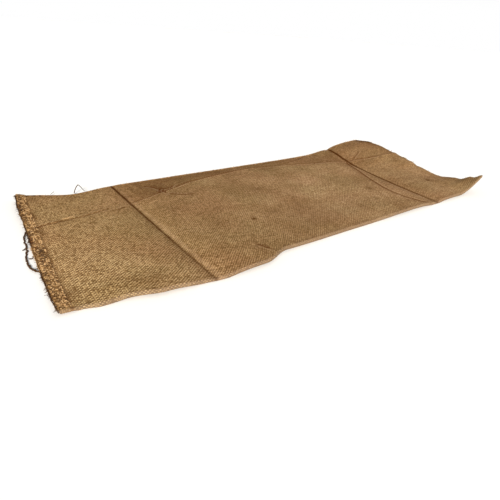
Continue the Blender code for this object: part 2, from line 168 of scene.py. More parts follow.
# Stains, with painted shade at the bottom's outer edge and the mouth's back corner, in mm: x, y, half
# length along x, half length along y, strength
stainsAndShade = [
    (13, 31, 11, 14, 0.75), (12, 62, 4, 14, 0.50), (12, 100, 3, 14, 0.40), (12, 150, 4, 18, 0.50),
    (14, 206, 6, 20, 0.50), (2, 295, 5, 44, 1.20), (14, 268, 3, 20, 0.80), (12, 312, 3, 14, 0.60),
    (7, 143, 4, 20, 1.70), (1, 191, 3, 17, 1.00), (5, 117, 2, 13, 1.20), (0, 52, 2, 34, 0.80),
    (20, 333, 7, 8, 0.75), (28, 351, 9, 5, 1.20), (14, 350, 6, 5, 0.80), (61, 354, 22, 5, 0.40),
    (40, 231, 12, 4, 0.50), (224, 283, 5, 9, 1.60), (230, 300, 5, 10, 0.85), (222, 316, 5, 8, 0.60),
    (311, 102, 5, 4, 1.50), (606, 107, 9, 8, 0.75), (578, 64, 6, 6, 0.85), (776, 82, 6, 5, 1.40),
    (832, 326, 12, 36, 1.30), (834, 275, 4, 24, 0.60), (803, 190, 3, 3, 0.80), (706, 353, 20, 3, 1.00),
    (328, 180, 3, 2, 0.60), (207, 189, 4, 4, 0.55), (218, 183, 4, 3, 0.45), (107, 26, 26, 12, 0.30),
    (818, 26, 16, 18, 0.30), (329, 340, 130, 16, 0.34), (567, 345, 80, 14, 0.20),
    (429, 60, 110, 34, 0.16), (205, 128, 34, 60, 0.12), (602, 192, 40, 60, 0.14),
    (711, 321, 40, 22, 0.18),
]
# stains and patches of painted shade alike fade out as given here
stainAndShadeReach = 6.0  # a stain has faded out at this many squared half lengths
hemDirt = {"length": 7 * mm, "contrast": 2.2}  # smears behind the turned hem, clean stretches between


def smooth(share):
    share = min(1.0, max(0.0, share))
    return share * share * (3.0 - 2.0 * share)


def mix(start, end, share):
    return start + (end - start) * share


def away(distance, reach):
    # 0 at a line and 1 well away from it
    return 1.0 - math.exp(-(distance / reach) ** 2)


def tableValue(rows, at, column=1):
    # the table's value, read smoothly, at a place in metres; the rows start with theirs in mm
    at = at / mm
    if at <= rows[0][0]:
        return rows[0][column]
    for low, high in zip(rows, rows[1:]):
        if at <= high[0]:
            share = smooth((at - low[0]) / (high[0] - low[0]))
            return mix(low[column], high[column], share)
    return rows[-1][column]


def creaseY(x):
    return tableValue(longCrease, x) * mm


def furrowX(furrow, y):
    share = y / sack["width"]
    return mix(furrow["nearX"], furrow["backX"], share) + furrow["bow"] * math.sin(math.pi * share)


def furrowRelief(furrow, x, y):
    # level with the floor on the line, a crest on each side, then level again
    fall = (y / sack["width"]) ** furrowShape["ridgeFall"]
    ridge = mix(furrow["nearRidge"], furrow["backRidge"], fall)
    reach = mix(furrow["nearReach"], furrow["backReach"], fall)
    off = math.hypot(x - furrowX(furrow, y), furrowShape["softness"]) - furrowShape["softness"]
    return ridge * off / reach * math.exp(1.0 - off / reach) * away(x, sack["hemSettling"])


def slackShare(x, y):
    share = away(y, sack["edgeSettling"])
    share *= away(max(0.0, sack["width"] - sack["seamLip"] - y), sack["edgeSettling"])
    share *= away(max(0.0, x - sack["hemWidth"]), sack["edgeSettling"])
    for furrow in furrows:
        share *= away(x - furrowX(furrow, y), furrowShape["pressing"])
    return share


def pleatRelief(x, y):
    along = y / (sack["width"] * pleat["end"])
    if along >= 1.0:
        return 0.0
    lens = math.sin(math.pi * mix(pleat["root"], 1.0, along) ** pleat["lean"])
    width = pleat["width"] * lens ** pleat["point"]
    off = (furrowX(furrows[1], y) - x) / max(width, 0.001)
    if not 0.0 < off < 1.0:
        return 0.0
    return pleat["height"] * math.sin(math.pi * off) ** 2 * math.sin(math.pi * along) ** 0.5


def cornerRelief(x, y):
    share = max(0.0, 1.0 - x / cornerLift["reach"]) ** cornerLift["curl"]
    seam = max(0.0, (y / sack["width"] - cornerLift["seamFrom"]) / (1.0 - cornerLift["seamFrom"]))
    fold = max(0.0, 1.0 - y / cornerLift["foldWidth"])
    return share * (cornerLift["seam"] * seam ** cornerLift["curl"] + cornerLift["fold"] * fold)


def mouthRelief(x, y):
    reach = tableValue(mouthEdge, y, 2) * mm
    share = min(1.0, max(0.0, 1.0 - (sack["length"] - x) / reach))
    curve = mix(share ** cornerLift["curl"], smooth(share), min(1.0, y / mouthCurlWidth))
    return tableValue(mouthEdge, y) * mm * curve


def relief(x, y):
    # how far the cloth stands up over its flattest lie
    waves = sack["unevenness"] * noise.noise(Vector((x, y, 0.0)) / sack["unevenLength"])
    behind = 0.5 + 0.5 * math.tanh((y - creaseY(x)) / creaseStep["width"])
    height = (sack["crown"] + waves - creaseStep["height"] * behind) * slackShare(x, y)
    height += sum(furrowRelief(furrow, x, y) for furrow in furrows)
    height += pleatRelief(x, y) + cornerRelief(x, y) + mouthRelief(x, y)
    return max(0.0, height)


def hemHeight(x, y):
    if x >= sack["hemWidth"]:
        return 0.0
    lumps = sack["hemLump"] * noise.noise(Vector((x * 0.5, y, 3.0)) / sack["hemLumpLength"])
    return (sack["hemBulge"] + lumps) * math.cos(0.5 * math.pi * x / sack["hemWidth"]) ** 0.5


def rounding(distance, radius):
    share = min(1.0, max(0.0, distance / radius))
    return math.sqrt(1.0 - (1.0 - share) ** 2)


def sewnShare(x, y):
    inside = min(sack["width"] - sack["seamLip"] - y, x - sack["hemWidth"])
    return smooth(1.0 - inside / sack["stitchPull"])


def nearestCrease(x, y):
    # signed distance in mm to the nearest fine crease, which crease it is, and how much is left
    # of it there: a crease fades out towards both its ends
    best = (creaseReach, None, 0.0)
    for crease in fineCreases:
        if not (crease["box"][0] < x < crease["box"][1] and crease["box"][2] < y < crease["box"][3]):
            continue
        run = 0.0
        for (ax, ay), (bx, by) in zip(crease["points"], crease["points"][1:]):
            span = math.hypot(bx - ax, by - ay)
            dx, dy = (bx - ax) / span, (by - ay) / span
            along = min(span, max(0.0, (x - ax) * dx + (y - ay) * dy))
            off = math.hypot(x - ax - dx * along, y - ay - dy * along)
            if off < abs(best[0]):
                side = crease["side"] if dx * (y - ay) - dy * (x - ax) > 0 else -crease["side"]
                atStart, atEnd = crease["fades"]
                ends = min((run + along) / (fadeLength * atStart + 0.001),
                           (crease["length"] - run - along) / (fadeLength * atEnd + 0.001))
                best = (side * off, crease, smooth(fadeLeast + ends))
            run += span
    return best


def fineRelief(x, y):
    # what the looks add to the upper ply: puckers, the bite of the pressed lines, fine creases
    height = sack["cockle"] * noise.noise(Vector((x, y * 1.3, 9.0)) / sack["cockleLength"])
    height *= away(max(0.0, sack["width"] - y), sack["puckerSettling"])
    for furrow in furrows:
        off = (x - furrowX(furrow, y)) / furrowShape["biteWidth"]
        height -= furrowShape["biteDepth"] * math.exp(-off * off)
    off, crease, left = nearestCrease(x / mm, y / mm)
    if crease:
        front = math.exp(-((off + crease["width"]) / crease["width"]) ** 2)
        behind = math.exp(-((off - 0.8 * crease["width"]) / crease["width"]) ** 2)
        height += (crease["ridge"] * front - crease["valley"] * behind) * left * mm
    return height


def clothHeight(x, y, ply, face):
    rise = relief(x, y)
    sewn = sewnShare(x, y)
    lift = max(0.0, rise - sack["plySpread"] * (1.0 - sewn))
    spread = rise - lift + sack["foldBulge"] * math.exp(-(y / sack["foldBulgeReach"]) ** 2)
    gap = mix(sack["plyGap"], sack["sewnGap"], sewn)
    gap = max(sack["leastGap"], gap + spread + fineRelief(x, y))
    lower = lift if face == "outer" else lift + sack["cloth"]
    upper = lift + sack["cloth"] + gap
    if face == "outer":
        upper += sack["cloth"] + hemHeight(x, y)
        closing = min(rounding(x, sack["edgeRounding"]), rounding(y, sack["edgeRounding"]),
                      rounding(sack["width"] - y, sack["edgeRounding"]))
    else:
        closing = min(rounding(x - sack["hemWidth"], sack["innerRounding"]),
                      rounding(y - sack["cloth"], sack["innerRounding"]),
                      rounding(sack["width"] - sack["seamLip"] - y, sack["innerRounding"]))
    middle = 0.5 * (lower + upper)
    half = 0.5 * (upper - lower) * closing
    return middle + half if ply == "upper" else middle - half


def raggedX(x, y):
    mouth = noise.noise(Vector((y, 0.0, 7.0)) / ragged["mouthLength"]) * ragged["mouth"]
    mouth += noise.noise(Vector((y, 4.0, 1.0)) / ragged["fineLength"]) * ragged["mouthFine"]
    hem = noise.noise(Vector((y, 2.0, 5.0)) / ragged["hemLength"]) * ragged["hem"]
    start = ragged["mouthFrom"]
    x += mouth * max(0.0, (x / sack["length"] - start) / (1.0 - start))
    return x + hem * max(0.0, 1.0 - x / ragged["hemReach"])


def placed(x, y, z):
    # a place on straight cloth, where it comes to lie in the frame's coordinates
    share = y / sack["width"]
    off = tableValue(foldLine, x) * mm * max(0.0, 1.0 - share) ** drawnIn
    off += tableValue(seamLine, x) * mm * max(0.0, share) ** drawnIn
    out = tableValue(bottomLine, y) * mm * max(0.0, 1.0 - max(0.0, x) / bottomReach) ** drawnIn
    return corner + Vector((raggedX(x, y) + out, y + off, z))


def onTop(x, y, above=0.0):
    # a point on the upper face, or this far above it, in the frame's coordinates
    return placed(x, y, clothHeight(x, y, "upper", "outer") + above)


def underneath(x, y, above=0.0):
    return placed(x, y, clothHeight(x, y, "lower", "outer") + above)


def midEdge(x, y, share=0.5):
    # between the sack's underside and its top
    return underneath(x, y) * (1.0 - share) + onTop(x, y) * share


print("scene: cloth grid")

# Spacing of the mesh: step over the whole sack, closer within these distances of a feature
grid = {
    "longStep": 4.4 * mm, "furrowStep": 2.0 * mm, "furrowReach": 14 * mm,
    "hemStep": 1.5 * mm, "hemReach": 5 * mm, "mouthStep": 2.0 * mm, "mouthReach": 10 * mm,
    "crossStep": 4.6 * mm, "creaseStep": 1.6 * mm, "creaseReach": 11 * mm,
    "foldReach": 7 * mm, "foldStep": 1.6 * mm, "seamReach": 9 * mm, "seamStep": 1.8 * mm,
    "innerStep": 15 * mm,
    "rounded": (0.0, 0.5 * mm, 1.2 * mm, sack["edgeRounding"]),  # rows of points round an edge
    "front": 210 * mm, "back": 85 * mm,  # usual widths in front of and behind the long crease
}


def stationsBetween(marks):
    # marks are (position, spacing before it); gives positions from the first mark to the last
    stations = [marks[0][0]]
    for position, step in marks[1:]:
        start = stations[-1]
        cells = max(1, round((position - start) / step))
        stations += [mix(start, position, (cell + 1) / cells) for cell in range(cells)]
    return stations


def longStations():
    marks = [(x, 1.0) for x in grid["rounded"]]
    marks.append((sack["hemWidth"] + grid["hemReach"], grid["hemStep"]))
    for furrow in furrows:
        marks += [(furrow["nearX"] - grid["furrowReach"], grid["longStep"]),
                  (furrow["nearX"], grid["furrowStep"]),
                  (furrow["nearX"] + grid["furrowReach"], grid["furrowStep"])]
    marks += [(sack["length"] - grid["mouthReach"], grid["longStep"]),
              (sack["length"], grid["mouthStep"])]
    return stationsBetween(marks)


def crossStations(x):
    # every row gets the same number of points, so that the rows can be joined
    crease = creaseY(x)
    front, back = crease - grid["creaseReach"], crease + grid["creaseReach"]
    lip = sack["width"] - grid["seamReach"]
    marks = [(y, 1.0) for y in grid["rounded"]]
    marks.append((grid["foldReach"], grid["foldStep"]))
    marks.append((front, (front - grid["foldReach"]) / round(grid["front"] / grid["crossStep"])))
    marks.append((back, grid["creaseStep"]))
    marks.append((lip, (lip - back) / round(grid["back"] / grid["crossStep"])))
    marks.append((sack["width"] - grid["rounded"][-1], grid["seamStep"]))
    marks += [(sack["width"] - y, 1.0) for y in grid["rounded"][-2::-1]]
    return stationsBetween(marks)


def skewedX(nearX, y):
    # rows lean with the furrows, so that each furrow runs along rows of its own
    rows = [(0.0, 0.0)]
    rows += [(furrow["nearX"], furrowX(furrow, y) - furrow["nearX"]) for furrow in furrows]
    rows += [(sack["length"], 0.0)]
    for low, high in zip(rows, rows[1:]):
        if nearX <= high[0]:
            return nearX + mix(low[1], high[1], (nearX - low[0]) / (high[0] - low[0]))
    return nearX


def offCentre(x, y, centreX, centreY, halfLong, halfWide):
    # square of the distance from the centre of a patch given in mm: 1 at its half widths
    return ((x / mm - centreX) / halfLong) ** 2 + ((y / mm - centreY) / halfWide) ** 2


def lightness(x, y):
    # painted light towards the bottom, painted shade behind the crease, and the patches
    share = tableValue(paintedLightAndPatches["along"], x)
    share *= mix(1.0, paintedLightAndPatches["lightAtSeam"], smooth(y / sack["width"]))
    behind = smooth((y - creaseY(x)) / paintedLightAndPatches["creaseSoft"]) * paintedLightAndPatches["shadeBehindCrease"]
    (start, full), (fadeStart, fadeEnd) = paintedLightAndPatches["behindFrom"], paintedLightAndPatches["behindUntil"]
    behind *= mix(1.0, paintedLightAndPatches["behindLeft"], smooth((x / mm - fadeStart) / (fadeEnd - fadeStart)))
    share -= behind * smooth((x / mm - start) / (full - start))
    for *patch, amount in paintedLightAndPatches["patches"]:
        share += amount * math.exp(-offCentre(x, y, *patch))
    return paintedLightAndPatches["level"] + share


def hemDirtAt(y):
    return smooth(0.5 + hemDirt["contrast"] * noise.noise(Vector((y / hemDirt["length"], 3.0, 6.0))))


def stainAndShadeAt(x, y):
    # the strongest of the stains and the painted shade here
    offs = [(offCentre(x, y, *stainAndShade), strength) for *stainAndShade, strength in stainsAndShade]
    return max((strength * math.exp(-off) for off, strength in offs if off < stainAndShadeReach), default=0.0)


def addStrip(mesh, place, first, second, up):
    # a strip of faces between two rows of points, each with its place on the flat cloth
    for left, right, farLeft, farRight in zip(first, first[1:], second, second[1:]):
        ring = [left, farLeft, farRight, right]
        if not up:
            ring.reverse()
        face = mesh.faces.new([item[0] for item in ring])
        face.smooth = True
        for loop, item in zip(face.loops, ring):
            loop[place].uv = item[1]


def newObject(name, data):
    made = bpy.data.objects.new(name, data)
    bpy.context.scene.collection.objects.link(made)
    return made


def meshObject(name, mesh):
    data = bpy.data.meshes.new(name)
    mesh.to_mesh(data)
    mesh.free()
    return newObject(name, data)


def markPoint(point, marks, x, y, top):
    # what the cloth's material reads at a point: where it is from each line of dirt, painted shade and
    # painted highlight, and how much
    furrow = min(furrows, key=lambda one: abs(x - furrowX(one, y)))
    fromFurrow = x - furrowX(furrow, y)
    values = {"furrowOff": (fromFurrow - furrow["dirtAndShadeOff"]) / mm,
              "furrowDark": tableValue(furrow["dirtAndShade"], y),
              "furrowShade": tableValue(furrow["shade"], y),
              "ridgeOff": (fromFurrow - furrow["paleOff"]) / mm,
              "furrowPale": tableValue(furrow["pale"], y),
              "hemOff": (x - sack["hemWidth"]) / mm + 0.5, "hemDark": hemDirtAt(y),
              "lightness": lightness(x, y), "creaseOff": creaseReach}
    if top:
        off, crease, left = nearestCrease(x / mm, y / mm)
        values["creaseOff"] = off
        values["creaseDark"] = crease["shadeAndHighlight"] * left if crease else 0.0
        values["stainAndShade"] = stainAndShadeAt(x, y)
    for name, value in values.items():
        point[marks[name]] = value


def clothRow(mesh, marks, nearX, face, ply):
    # points across the sack, each with its place on the flat cloth: along it and round its edges
    row = []
    flatY, before = 0.0, None
    for y in crossStations(nearX):
        x = skewedX(nearX, y)
        flatX = x - sack["edgeRounding"] * (1.0 - rounding(x, sack["edgeRounding"]))
        if face == "inner":
            x = mix(sack["hemWidth"], sack["length"], x / sack["length"])
            y = mix(sack["cloth"], sack["width"] - sack["seamLip"], y / sack["width"])
        point = mesh.verts.new(placed(x, y, clothHeight(x, y, ply, face)))
        if before is not None:
            flatY += math.hypot(point.co.y - before.co.y, point.co.z - before.co.z)
        before = point
        markPoint(point, marks, x, y, face == "outer" and ply == "upper")
        row.append((point, (flatX, flatY if ply == "upper" else -flatY)))
    return row


def makeCloth():
    mesh = bmesh.new()
    place = mesh.loops.layers.uv.new("clothPlace")
    marks = {name: mesh.verts.layers.float.new(name)
             for name in ("furrowOff", "furrowDark", "furrowShade", "ridgeOff", "furrowPale",
                          "creaseOff", "creaseDark", "hemOff", "hemDark", "stainAndShade", "lightness")}
    stations = {"outer": longStations(),
                "inner": stationsBetween([(0.0, 1.0), (sack["length"], grid["innerStep"])])}
    rims = {}
    for face in ("outer", "inner"):
        for ply in ("lower", "upper"):
            rows = [clothRow(mesh, marks, nearX, face, ply) for nearX in stations[face]]
            for first, second in zip(rows, rows[1:]):
                addStrip(mesh, place, first, second, (face == "outer") == (ply == "upper"))
            rims[ply, face] = rows[-1]
    for ply in ("lower", "upper"):
        addStrip(mesh, place, rims[ply, "outer"], rims[ply, "inner"], ply == "upper")
    bmesh.ops.remove_doubles(mesh, verts=mesh.verts, dist=0.02 * mm)
    bmesh.ops.recalc_face_normals(mesh, faces=mesh.faces)
    return meshObject("sack_cloth", mesh)


print("scene: strands")


def newStrands(seed):
    return {"points": [], "faces": [], "tones": []}, random.Random(seed)


def acrossPath(path):
    # two directions across a path at each of its points, carried along so that they don't twist
    across = (path[1] - path[0]).orthogonal().normalized()
    for index, point in enumerate(path):
        ahead = (path[min(index + 1, len(path) - 1)] - path[max(index - 1, 0)]).normalized()
        across = (across - ahead * across.dot(ahead)).normalized()
        yield point, across, ahead.cross(across)


def addTube(strands, path, radii, sides, tone=0.5):
    # a tapering tube on a path; tone is one value, or a list of one for each point
    start = len(strands["points"])
    for index, (point, across, other) in enumerate(acrossPath(path)):
        for side in range(sides):
            angle = 2.0 * math.pi * side / sides
            out = across * math.cos(angle) + other * math.sin(angle)
            strands["points"].append(point + out * radii[index])
            strands["tones"].append(tone[index] if isinstance(tone, list) else tone)
    last = start + (len(path) - 1) * sides
    for low in range(start, last, sides):
        for side in range(sides):
            following = (side + 1) % sides
            strands["faces"].append((low + side, low + following, low + sides + following,
                                     low + sides + side))
    strands["faces"].append(tuple(reversed(range(start, start + sides))))
    strands["faces"].append(tuple(range(last, last + sides)))


def smoothPath(points, pieces):
    # a smooth curve through the points
    ends = [points[0] * 2 - points[1]] + list(points) + [points[-1] * 2 - points[-2]]
    path = []
    for a, b, c, d in zip(ends, ends[1:], ends[2:], ends[3:]):
        for piece in range(pieces):
            t = piece / pieces
            path.append(0.5 * (2 * b + (c - a) * t + (2 * a - 5 * b + 4 * c - d) * t * t
                               + (3 * b - a - 3 * c + d) * t ** 3))
    return path + [points[-1]]


# Two-ply twine: how far each ply's middle is from the twine's (in ply radii), its lumps, and how
# much darker or paler one ply is than the other
twine = {"apart": 0.9, "lumps": 0.5, "lumpLength": 2.5 * mm, "plyTone": 0.08}


def addTwine(strands, path, radius, turn, tone=0.5, sides=5):
    # two plies twisted together: radius is one ply's, turn the length of a full twist
    plies = [[], []]
    run, before = 0.0, path[0]
    for point, across, other in acrossPath(path):
        run += (point - before).length
        before = point
        angle = 2.0 * math.pi * run / turn
        out = across * math.cos(angle) + other * math.sin(angle)
        plies[0].append(point + out * radius * twine["apart"])
        plies[1].append(point - out * radius * twine["apart"])
    for ply, shift in zip(plies, (-twine["plyTone"], twine["plyTone"])):
        lumps = [twine["lumps"] * noise.noise(point / twine["lumpLength"]) for point in ply]
        addTube(strands, ply, [radius * (1.0 + lump) for lump in lumps], sides, tone + shift)


def strandObject(name, strands):
    # what would lie below the floor is pressed flat on it
    for point in strands["points"]:
        point.z = max(0.0, point.z)
    data = bpy.data.meshes.new(name)
    data.from_pydata([tuple(point) for point in strands["points"]], [], strands["faces"])
    data.shade_smooth()
    data.attributes.new("tone", "FLOAT", "POINT").data.foreach_set("value", strands["tones"])
    return newObject(name, data)


# Tone of the outermost yarns along the bottom, by mm from the fold: dark from dirt and painted shade,
# but for a paler stretch
edgeDirtAndShade = [(0, -0.1), (92, -0.1), (103, 0.40), (166, 0.45), (180, -0.3), (225, -0.2), (240, 0.1),
            (280, 0.0), (300, -0.35), (356, -0.2)]


def edgeTone(y):
    return tableValue(edgeDirtAndShade, y)


# Sewing of the turned hem: rows of short crossing stitches that cover the band like a coarse
# knit, and looser overcast stitches that wrap its edge. An arch is (share of the stitch, height
# over the cloth in yarn radii); both ends sink into the cloth.
hemSewing = {"rows": (2.2, 4.6, 7.0, 9.4, 11.6), "first": 4, "stagger": 1.1, "margin": 2 * mm,
             "pitch": 2.4 * mm, "uneven": (0.6, 1.4), "long": 2.8 * mm, "ply": 0.38 * mm,
             "turn": 2.8 * mm, "slant": 0.75,
             "arch": [(-1.0, -1.4), (-0.6, 0.3), (0.0, 1.1), (0.6, 0.4), (1.0, -1.4)],
             "wrapFirst": 6 * mm, "wrapPitch": 7.5 * mm, "wrapUneven": (0.5, 1.6),
             "wrapInner": 6.0 * mm, "sway": 0.9 * mm,
             "wrapArch": [(-0.06, -1.5), (0.1, 1.0), (0.35, 1.8), (0.7, 1.8), (0.93, 1.2)],
             "wrapMargin": 3 * mm, "wrapUnder": ((1.3 * mm, 0.2 * mm), (3.4 * mm, 1.2 * mm)),
             "seed": 4}


def stitchPlaces(rng, start, end, pitch, uneven):
    # each place is drawn after the stitch before it
    while start < end:
        yield start
        start += pitch * rng.uniform(*uneven)


def makeHemStitches():
    look = hemSewing
    strands, rng = newStrands(look["seed"])
    for number, row in enumerate(look["rows"]):
        start, end = (look["first"] + look["stagger"] * number) * mm, sack["width"] - look["first"] * mm
        slant = look["slant"] if number % 2 else -look["slant"]
        for y in stitchPlaces(rng, start, end, look["pitch"], look["uneven"]):
            addHemStitch(strands, rng, row * mm, y, slant + rng.gauss(0.0, 0.4))
    start, end = look["wrapFirst"], sack["width"] - look["wrapFirst"]
    for y in stitchPlaces(rng, start, end, look["wrapPitch"], look["wrapUneven"]):
        addHemWrap(strands, rng, y)
    return strandObject("hem_stitches", strands)


def addHemStitch(strands, rng, x, y, slant):
    look = hemSewing
    radius = look["ply"] * rng.uniform(0.65, 1.2)
    half = 0.5 * look["long"] * rng.uniform(0.6, 1.25)
    x += rng.gauss(0.0, 0.5) * mm
    margin = look["margin"]
    points = []
    for share, lift in look["arch"]:
        alongX = max(0.6 * mm, x + half * share * math.cos(slant))
        alongY = min(sack["width"] - margin, max(margin, y + half * share * math.sin(slant)))
        points.append(onTop(alongX, alongY, lift * radius))
    # darker on stains and painted shade, and near the edge with its dirt and painted shade
    tone = rng.choice((rng.uniform(0.15, 0.65), rng.uniform(0.8, 1.5))) - 0.5 * stainAndShadeAt(x, y)
    tone += (edgeTone(y) - 0.2) * max(0.0, 1.0 - x / (6 * mm))
    addTwine(strands, smoothPath(points, 2), radius, look["turn"], tone, 4)


def addHemWrap(strands, rng, y):
    look = hemSewing
    radius = look["ply"] * rng.uniform(0.6, 1.0)
    inner = look["wrapInner"] * rng.uniform(0.5, 1.3)
    margin = look["wrapMargin"]
    edgeY = min(sack["width"] - margin, max(margin, y + rng.gauss(0.0, 3.0) * mm))
    points = []
    for share, lift in look["wrapArch"]:
        sway = rng.gauss(0.0, look["sway"]) * (0.2 < share < 0.9)
        points.append(onTop(inner * (1.0 - share), mix(y, edgeY, share) + sway, lift * radius))
    points.append(midEdge(0.0, edgeY) - Vector((radius, 0, 0)))
    points += [underneath(x, edgeY, above) for x, above in look["wrapUnder"]]
    # darker with the edge's dirt and painted shade, and with the stains and painted shade below
    tone = rng.uniform(-0.5, 0.4) + edgeTone(y) - 0.6 * stainAndShadeAt(4 * mm, y)
    addTwine(strands, smoothPath(points, 3), radius, look["turn"], tone, 4)


# Running stitches that hold the two plies together along the side seam
seamSewing = {"first": 17 * mm, "last": 8 * mm, "pitch": 9.0 * mm, "uneven": (0.92, 1.08),
              "long": 6.2 * mm, "ply": 0.34 * mm, "turn": 3.6 * mm, "inside": 6.0 * mm, "sway": 0.4,
              "arch": [(0.0, -1.0), (0.15, 0.5), (0.5, 0.9), (0.85, 0.5), (1.0, -1.0)], "seed": 8}


def makeSeamStitches():
    look = seamSewing
    strands, rng = newStrands(look["seed"])
    end = sack["length"] - look["last"]
    for x in stitchPlaces(rng, look["first"], end, look["pitch"], look["uneven"]):
        y = sack["width"] - look["inside"] + rng.uniform(-look["sway"], look["sway"]) * mm
        span = look["long"] * rng.uniform(0.85, 1.15)
        points = [onTop(x + span * share, y, lift * look["ply"]) for share, lift in look["arch"]]
        addTwine(strands, smoothPath(points, 3), look["ply"], look["turn"], rng.uniform(0.3, 0.8))
    return strandObject("seam_stitches", strands)


def curledPath(rng, root, heading, length, look):
    # a fibre or yarn end that bends at random and stays above the floor
    path = [root.copy()]
    for piece in range(look["pieces"]):
        turn = Vector([rng.gauss(0, look["curl"]) * share for share in (1.0, 1.0, 0.7)])
        heading = (heading + turn * 0.6).normalized()
        point = path[-1] + heading * (length / look["pieces"])
        if point.z < look["floor"]:
            point.z = look["floor"]
            heading.z = abs(heading.z) * 0.3
        path.append(point)
    return path


def taperedRadii(thick, look):
    return [thick * (1.0 - look["loss"] * (ring / look["pieces"]) ** 1.5)
            for ring in range(look["pieces"] + 1)]


# Cut warp ends past the sewn bottom, and the outermost yarns that run along it
bottomFringe = {"tufts": 190, "shortest": 1.2 * mm, "longest": 7.0 * mm, "root": 0.50 * mm,
                "fibres": (2, 7), "pieces": 5, "curl": 0.55, "loss": 0.75, "inside": 1.2 * mm,
                "floor": 0.40 * mm, "margin": 2.5 * mm, "edgeYarns": 3, "edgeRadius": 0.55 * mm,
                "edgeStep": 2.2 * mm, "wanderLength": 7 * mm, "riseLength": 6 * mm, "seed": 21}


def makeBottomFringe():
    look = bottomFringe
    strands, rng = newStrands(look["seed"])
    margin, last = look["margin"], sack["width"] - look["margin"]
    steps = [margin + step * look["edgeStep"] for step in range(int(sack["width"] / look["edgeStep"]))]
    steps = [y for y in steps if y <= last]
    for yarn in range(look["edgeYarns"]):
        path = []
        for y in steps:
            point = midEdge(0.0, y)
            wander = noise.noise(Vector((y / look["wanderLength"], yarn * 5.0, 0.0)))
            rise = noise.noise(Vector((y / look["riseLength"], yarn * 5.0, 8.0)))
            point.x -= (0.5 + 0.35 * yarn + 0.5 * wander) * mm
            point.z = max(point.z + (yarn - 1) * 0.7 * mm + rise * 0.5 * mm, look["edgeRadius"])
            path.append(point)
        radii = [look["edgeRadius"] * rng.uniform(0.75, 1.2) for point in path]
        own = rng.uniform(-0.2, 0.3)
        # dark along most of the edge, with dirt and painted shade
        addTube(strands, path, radii, 5, [own + edgeTone(y) for y in steps])
    for number in range(look["tufts"]):
        # one frayed yarn end: its fibres leave together and spread
        y = mix(margin, last, (number + rng.random()) / look["tufts"])
        longest = mix(look["shortest"], look["longest"], rng.random() ** 1.7)
        root = midEdge(look["inside"], y, rng.uniform(0.2, 0.7))
        lean = Vector((-1.0, rng.gauss(0.0, 0.55), rng.uniform(-0.45, 0.15)))
        tone = rng.uniform(-0.4, 0.2) + edgeTone(y)
        for fibre in range(rng.randint(*look["fibres"])):
            heading = (lean + Vector([rng.gauss(0.0, 0.28) for axis in range(3)])).normalized()
            start = root + Vector((0.0, rng.gauss(0.0, 0.4), rng.gauss(0.0, 0.25))) * mm
            length = longest * rng.uniform(0.5, 1.0) + look["inside"]
            path = curledPath(rng, start, heading, length, look)
            radii = taperedRadii(look["root"] * rng.uniform(0.3, 1.0), look)
            addTube(strands, path, radii, 4, tone + rng.uniform(-0.15, 0.15))
    return strandObject("bottom_fringe", strands)


# Warp ends at the cut mouth, for each of the two plies
mouthFringe = {"count": 420, "shortest": 0.8 * mm, "longest": 5.5 * mm, "root": 0.60 * mm,
               "pieces": 4, "curl": 0.4, "loss": 0.7, "inside": 1.2 * mm, "floor": 0.15 * mm,
               "margin": 2 * mm, "fromFold": 4 * mm, "fromSeam": 11 * mm, "mostPly": 3 * mm,
               "slopeOver": 8 * mm, "seed": 31}


def makeMouthFringe():
    look = mouthFringe
    strands, rng = newStrands(look["seed"])
    for number in range(look["count"]):
        ply = "upper" if number % 2 else "lower"
        y = mix(look["margin"], sack["width"] - look["margin"], (number + rng.random()) / look["count"])
        x = sack["length"] - look["inside"]
        within = min(max(y, look["fromFold"]), sack["width"] - look["fromSeam"])
        inside = clothHeight(x, within, ply, "inner")
        outside = clothHeight(x, y, ply, "outer")
        root = placed(x, y, mix(outside, inside, rng.uniform(0.25, 0.75)))
        if abs(inside - outside) > look["mostPly"]:
            continue
        length = mix(look["shortest"], look["longest"], rng.random() ** 2.6)
        back = clothHeight(x - look["slopeOver"], y, ply, "outer")
        slope = (outside - back) / look["slopeOver"]
        heading = Vector((1.0, rng.gauss(0.0, 0.35), slope + rng.uniform(-0.3, 0.2))).normalized()
        path = curledPath(rng, root, heading, length + look["inside"], look)
        radii = taperedRadii(look["root"] * rng.uniform(0.4, 1.0), look)
        addTube(strands, path, radii, 4, rng.uniform(-0.2, 0.7))
    return strandObject("mouth_fringe", strands)


